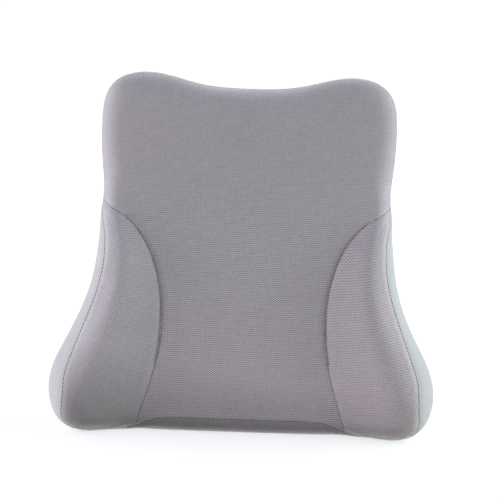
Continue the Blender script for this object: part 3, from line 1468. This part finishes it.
def backward_normals(grid):
    """Normals of a strap sheet, turned so that its flat part faces backward."""
    normals = grid_normals(grid)
    return -normals if normals[10, 50, 1] < 0 else normals


elastic_grid, elastic_uv = elastic_sheet()
for side, side_name in ((1, "right"), (-1, "left")):
    grid = elastic_grid if side > 0 else flip(elastic_grid)
    band = slab("elastic_%s_cloth" % side_name, grid, backward_normals(grid), 1.4, elastic_uv)
    dress(band, "elastic", "elastic", "elastic_band_" + side_name, body=None)
    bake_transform(band)

# ---------------------------------------------------------------- strap: nylon webs
BUCKLE_Y = 64.8
BAR_X, BAR_RADIUS = 27.0, 1.7       # the buckle's bar that the web turns round
WEB_THICK = 1.2                     # allowed for in the path
WEB_SHEET_THICK = 1.15
WEB_HALF = 12.1
LIFT_X = 52                         # where the web leaves the back for the buckle
TURN_RADIUS = BAR_RADIUS + 0.3 + WEB_THICK / 2
WEB_Y = BACK_Y + 0.3 + 1.5 + 0.2 + WEB_THICK / 2    # over the elastic
TAIL_Y = BACK_Y + 0.55 + WEB_THICK / 2


def web_path():
    """(x, y) along the right web, from its outer end round the bar and back under itself."""
    path = [(134.0, WEB_Y), (56, WEB_Y), (LIFT_X, WEB_Y)]
    for i in range(1, 12):
        k = i / 12
        rise = (BUCKLE_Y + TURN_RADIUS - WEB_Y) * smooth(k)
        path.append((LIFT_X - (LIFT_X - BAR_X) * k, WEB_Y + rise))
    for i in range(13):
        angle = pi / 2 + pi * i / 12
        path.append((BAR_X + TURN_RADIUS * cos(angle), BUCKLE_Y + TURN_RADIUS * sin(angle)))
    under_y = BUCKLE_Y - TURN_RADIUS
    for i in range(1, 9):
        k = i / 8
        path.append((BAR_X + 14 * k, under_y + (TAIL_Y - under_y) * smooth(k)))
    return path + [(BAR_X + 20, TAIL_Y)]


def web_sheet(side):
    """[up][along] middle sheet of a web, and its UVs."""
    line = resample(np.array([(x, y, 0.0) for x, y in web_path()]), 1.0)
    run = np.arange(len(line)) * np.linalg.norm(line[1] - line[0])
    rows, uvs = [], []
    for v in np.linspace(-WEB_HALF, WEB_HALF, 21):
        z = STRAP_Z + v + 0.12 * (v / WEB_HALF) * np.sin(run / 3.1)
        rows.append(np.stack([line[:, 0] * side, line[:, 1], z], axis=1))
        uvs.append(np.stack([run, np.full(len(run), v)], axis=1))
    return np.array(rows), np.array(uvs)


for side, side_name in ((1, "right"), (-1, "left")):
    grid, uvs = web_sheet(side)
    web = slab("web_%s_cloth" % side_name, grid, backward_normals(grid), WEB_SHEET_THICK, uvs)
    dress(web, "web", "webbing", "webbing_" + side_name, body=None)
    if side > 0:
        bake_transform(web)
    else:
        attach(web, "strap_mid")

# a stitched box and cross holds each web to its elastic
for side, side_name in ((1, "right"), (-1, "left")):
    x0, x1, z0, z1 = side * 116.5, side * 131.5, STRAP_Z - 10.0, STRAP_Z + 10.0
    rows = [((x0, z0), (x1, z0)), ((x1, z0), (x1, z1)), ((x1, z1), (x0, z1)),
            ((x0, z1), (x0, z0)), ((x0, z0), (x1, z1)), ((x0, z1), (x1, z0))]
    for k, (start, stop) in enumerate(rows):
        flat_stitches("web_stitch_%s_%d" % (side_name, k), start, stop,
                      WEB_Y + WEB_THICK / 2 + 0.02, body="strap_mid", pitch=2.5, length=2.1,
                      radius=0.30, sink=0.4, seed=20 + k)

# ---------------------------------------------------------------- blank care label
LABEL_LOW, LABEL_HIGH = 66, 92


def label_point(x, z):
    """Sewn along the upper edge, the label stands off more towards its lower edge."""
    down = 1 - (z - LABEL_LOW) / (LABEL_HIGH - LABEL_LOW)
    curl = 0.55 * down ** 2 * (0.6 + 0.4 * sin(x / 7.0))
    return x, 60.26 + curl + 0.05 * sin(x / 3.0 + z / 5.0), z


label = back_sheet("care_label_cloth", np.linspace(-150, -112, 39),
                   np.linspace(LABEL_LOW, LABEL_HIGH, 27), label_point, thick=0.28)
dress(label, "label", "label", "care_label")
flat_stitches("label_stitch_top", (-149.0, 90.4), (-113.0, 90.4), 60.48, pitch=2.6, length=2.1,
              radius=0.24, sink=0.35, seed=40)


# ---------------------------------------------------------------- hard parts
def ease_edges(node, material, width, segments=2):
    """Keep a part's CAD shape, with eased edges."""
    obj = frame["nodes"][node]
    weld = obj.modifiers.new("join", "WELD")
    weld.merge_threshold = 0.00001
    bevel = obj.modifiers.new("edges", "BEVEL")
    bevel.width = width * MM
    bevel.segments = segments
    bevel.limit_method = "ANGLE"
    bevel.angle_limit = radians(35)
    bevel.harden_normals = False
    bevel.use_clamp_overlap = True
    obj.data.materials.clear()
    obj.data.materials.append(MATS[material])


for node in ("buckle_socket", "buckle_plug", "buckle_arm_upper", "buckle_arm_lower",
             "strap_adjuster"):
    ease_edges(node, "buckle", 0.35)
for node in ("zip_teeth_upper", "zip_teeth_lower"):
    ease_edges(node, "teeth", 0.16, segments=1)
for node in ("zip_stops", "zip_slider", "zip_pull_tab"):
    ease_edges(node, "metal", 0.22)


# ---------------------------------------------------------------- floor
def add_floor(half=12.0, z=-0.0004):
    """Pale floor that glows to the camera only and neither shades nor lights the cushion."""
    mesh = bpy.data.meshes.new("floor")
    mesh.from_pydata([(-half, -half, z), (half, -half, z), (half, half, z), (-half, half, z)],
                     [], [(0, 1, 2, 3)])
    floor = link_object("floor", mesh)
    m = Mat("pale_floor")
    m.set(Base_Color=(0.42, 0.42, 0.43), Roughness=0.9, Specular_IOR_Level=0.05,
          Emission_Color=(1.0, 1.0, 1.0), Emission_Strength=m.camera_ray() * 0.70)
    floor.data.materials.append(m.material)
    floor.visible_diffuse = floor.visible_glossy = floor.visible_shadow = False


add_floor()

# ---------------------------------------------------------------- light
# broad soft sources round the object: direction, colour times strength
LOBES = [
    ((0.0, 0.906, -0.423), (0.071, 0.058, 0.088)),
    ((-0.453, 0.785, -0.423), (0.173, 0.06, 0.086)),
    ((-0.785, 0.453, -0.423), (0.392, 0.108, 0.242)),
    ((-0.906, 0.0, -0.423), (1.347, 1.009, 1.176)),
    ((-0.785, -0.453, -0.423), (1.431, 1.236, 1.17)),
    ((0.0, -0.99, 0.139), (0.27, 0.199, 0.189)),
    ((0.43, -0.892, 0.139), (0.426, 0.407, 0.305)),
    ((0.774, -0.617, 0.139), (0.933, 1.013, 0.838)),
    ((0.965, -0.22, 0.139), (1.894, 2.031, 1.961)),
    ((0.965, 0.22, 0.139), (2.462, 2.688, 2.575)),
    ((0.774, 0.617, 0.139), (1.594, 1.892, 1.719)),
    ((0.43, 0.892, 0.139), (0.505, 0.635, 0.585)),
    ((0.0, 0.99, 0.139), (0.169, 0.191, 0.187)),
    ((-0.43, 0.892, 0.139), (0.325, 0.39, 0.307)),
    ((-0.774, 0.617, 0.139), (0.926, 1.105, 0.934)),
    ((-0.965, 0.22, 0.139), (1.542, 1.67, 1.669)),
    ((-0.965, -0.22, 0.139), (1.303, 1.388, 1.477)),
    ((-0.774, -0.617, 0.139), (0.713, 0.836, 0.844)),
    ((-0.43, -0.892, 0.139), (0.35, 0.338, 0.351)),
    ((0.0, -0.766, 0.643), (0.017, 0.051, 0.231)),
    ((0.45, -0.62, 0.643), (0.0, 0.0, 0.163)),
    ((0.729, 0.237, 0.643), (0.285, 0.008, 0.329)),
]
LOBE_SHARPNESS = 7.0
BACKDROP = (1.02, 1.02, 1.02)       # what the camera sees
WORLD_STRENGTH = 1.02


def add_world():
    world = bpy.data.worlds.new("studio")
    bpy.context.scene.world = world
    world.use_nodes = True
    sky = Nodes(world.node_tree)
    view = sky.node("ShaderNodeTexCoord", output="Generated")
    total = None
    for direction, colour in LOBES:
        toward = sky.vector("DOT_PRODUCT", {0: view, 1: direction}, "Value")
        fade = toward.math("MULTIPLY_ADD", LOBE_SHARPNESS, -LOBE_SHARPNESS).math("EXPONENT")
        lobe = sky.tint(colour, fade)
        total = sky.vector("ADD", {0: total, 1: lobe}) if total else lobe
    shown = sky.mix(sky.camera_ray(), total, BACKDROP)
    background = sky.node("ShaderNodeBackground", {"Color": shown, "Strength": WORLD_STRENGTH})
    sky.end("ShaderNodeOutputWorld", background)


add_world()

# ---------------------------------------------------------------- camera
TARGET_Z = 0.185        # metres
CAMERA_DISTANCE = 1.8
CAMERA_ELEVATION = radians(7.0)
CAMERA_ROLL = radians(1.9)


def add_camera():
    scene = bpy.context.scene
    scene.view_settings.view_transform = "Standard"
    scene.view_settings.look = "None"
    data = bpy.data.cameras.new("camera")
    camera = link_object("camera", data)
    place = Vector((0, -CAMERA_DISTANCE * cos(CAMERA_ELEVATION),
                    TARGET_Z + CAMERA_DISTANCE * sin(CAMERA_ELEVATION)))
    look = (Vector((0, 0, TARGET_Z)) - place).to_track_quat("-Z", "Y").to_matrix().to_4x4()
    camera.matrix_world = Matrix.Translation(place) @ look @ Matrix.Rotation(CAMERA_ROLL, 4, "Z")
    data.sensor_width = 36.0
    data.lens = 119.232
    data.shift_x, data.shift_y = 0.010, 0.028
    scene.camera = camera


add_camera()
